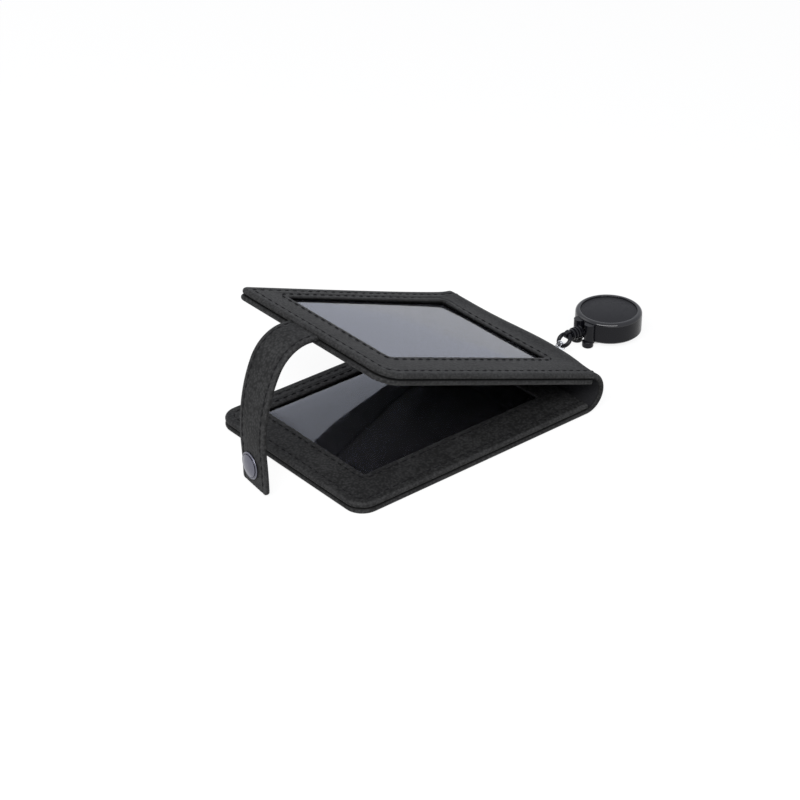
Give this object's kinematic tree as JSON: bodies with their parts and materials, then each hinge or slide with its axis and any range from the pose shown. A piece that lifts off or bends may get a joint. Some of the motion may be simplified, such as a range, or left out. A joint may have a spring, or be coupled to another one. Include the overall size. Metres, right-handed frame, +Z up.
{
  "type": "id badge wallet",
  "caption": "Folding black leather badge wallet with clear windows, snap strap and a retractable cord reel on a belt clip.",
  "frame": {"origin": "centre of the back panel's flat underside, which lies on the table", "axes": "+X from the free edge to the spine, +Y along the spine to the rear, +Z up out of the back panel"},
  "size_m": [0.2309, 0.101, 0.0673],
  "materials": {
    "black_leather": "fine grained faux leather, matt",
    "lining": "smooth black lining",
    "backing_board": "black stiffening sheet",
    "clear_film": "clear glossy vinyl",
    "snap_metal": "dark gunmetal, glossy",
    "wire_metal": "nickel plated",
    "reel_case": "black moulded plastic, glossy",
    "reel_face": "dark grey satin disc",
    "spool_plastic": "moulded",
    "spring_steel": "bright strip",
    "cord": "black braided cord"
  },
  "bodies": {
    "back": {"back_leather": "black_leather", "back_board": "backing_board", "back_window_frame": "black_leather", "back_window_film": "clear_film", "spine_leather": "black_leather", "spine_lining": "lining", "snap_stud": "snap_metal", "snap_stud_rivet": "snap_metal", "spine_tab": "black_leather"},
    "cover": {"cover_outer_frame": "black_leather", "cover_outer_film": "clear_film", "cover_board": "backing_board", "cover_inner_frame": "black_leather", "cover_inner_film": "clear_film", "strap_root": "black_leather"},
    "strap_upper_body": {"strap_fold": "black_leather", "strap_bend": "black_leather", "strap_upper": "black_leather"},
    "strap_lower_body": {"strap_knee": "black_leather", "strap_end": "black_leather", "snap_cap": "snap_metal", "snap_socket": "snap_metal"},
    "leash_loop": {"spine_loop": "wire_metal"},
    "leash_strap": {"clear_strap": "clear_film", "leash_snap_cap": "snap_metal", "leash_snap_stud": "snap_metal"},
    "ring": {"leash_ring": "reel_case"},
    "cord_end": {"cord_ferrule": "reel_case", "pull_cord": "cord"},
    "reel": {"reel_back_shell": "reel_case", "reel_front_shell": "reel_case", "reel_face_disc": "reel_face", "spring_arbor": "spool_plastic", "clip_plate": "wire_metal", "clip_bend": "wire_metal", "clip_screw": "wire_metal"},
    "spool": {"reel_spool": "spool_plastic", "wound_cord": "cord", "mainspring": "spring_steel"},
    "clip": {"clip_tongue": "wire_metal"}
  },
  "joints": [
    {"name": "cover_fold", "type": "hinge", "parent": "back", "child": "cover", "pos_m": [0.07841, 0, 0.00813], "axis": [0, 1, 0], "range_deg": [-20.3, 115], "deforming": ["spine_leather", "spine_lining"]},
    {"name": "strap_lift", "type": "hinge", "parent": "cover", "child": "strap_upper_body", "pos_m": [-0.05841, -0.00309, 0.06443], "axis": [0.1224, 0.9914, -0.0453], "range_deg": [-8, 70], "deforming": ["strap_fold"]},
    {"name": "strap_curl", "type": "hinge", "parent": "strap_upper_body", "child": "strap_lower_body", "pos_m": [-0.08448, -0.00176, 0.02293], "axis": [0.1224, 0.9914, -0.0453], "range_deg": [-20, 60], "deforming": ["strap_knee"]},
    {"name": "loop_tilt", "type": "hinge", "parent": "back", "child": "leash_loop", "pos_m": [0.07603, -0.0015, 0.00245], "axis": [0, 1, 0], "range_deg": [-45, 10]},
    {"name": "clear_strap_tilt", "type": "hinge", "parent": "leash_loop", "child": "leash_strap", "pos_m": [0.08303, -0.0015, 0.00245], "axis": [0, 1, 0], "range_deg": [-40, 25]},
    {"name": "ring_tilt", "type": "hinge", "parent": "leash_strap", "child": "ring", "pos_m": [0.09613, -0.0015, 0.00415], "axis": [0, 1, 0], "range_deg": [-30, 30]},
    {"name": "cord_end_tilt", "type": "hinge", "parent": "ring", "child": "cord_end", "pos_m": [0.10051, -0.0015, 0.00853], "axis": [0, 1, 0], "range_deg": [-30, 30]},
    {"name": "cord_pull", "type": "slide", "parent": "cord_end", "child": "reel", "axis": [1, 0, 0], "range_m": [0, 0.6], "stiffness_N_per_m": 0.8, "springref_m": -0.5, "deforming": ["pull_cord"]},
    {"name": "spool_spin", "type": "hinge", "parent": "reel", "child": "spool", "pos_m": [0.12736, -0.0015, 0.0075], "axis": [0, 0, 1], "range_deg": [0, 3300], "deforming": ["mainspring"]},
    {"name": "clip_open", "type": "hinge", "parent": "reel", "child": "clip", "pos_m": [0.13936, -0.0015, 0.0011], "axis": [0, -1, 0], "range_deg": [0, 12], "stiffness_Nm_per_rad": 0.3, "springref_deg": -8.59, "deforming": ["clip_bend"]}
  ],
  "couplings": [
    {"joint": "spool_spin", "follows": "cord_pull", "rad_per_m": 95}
  ]
}
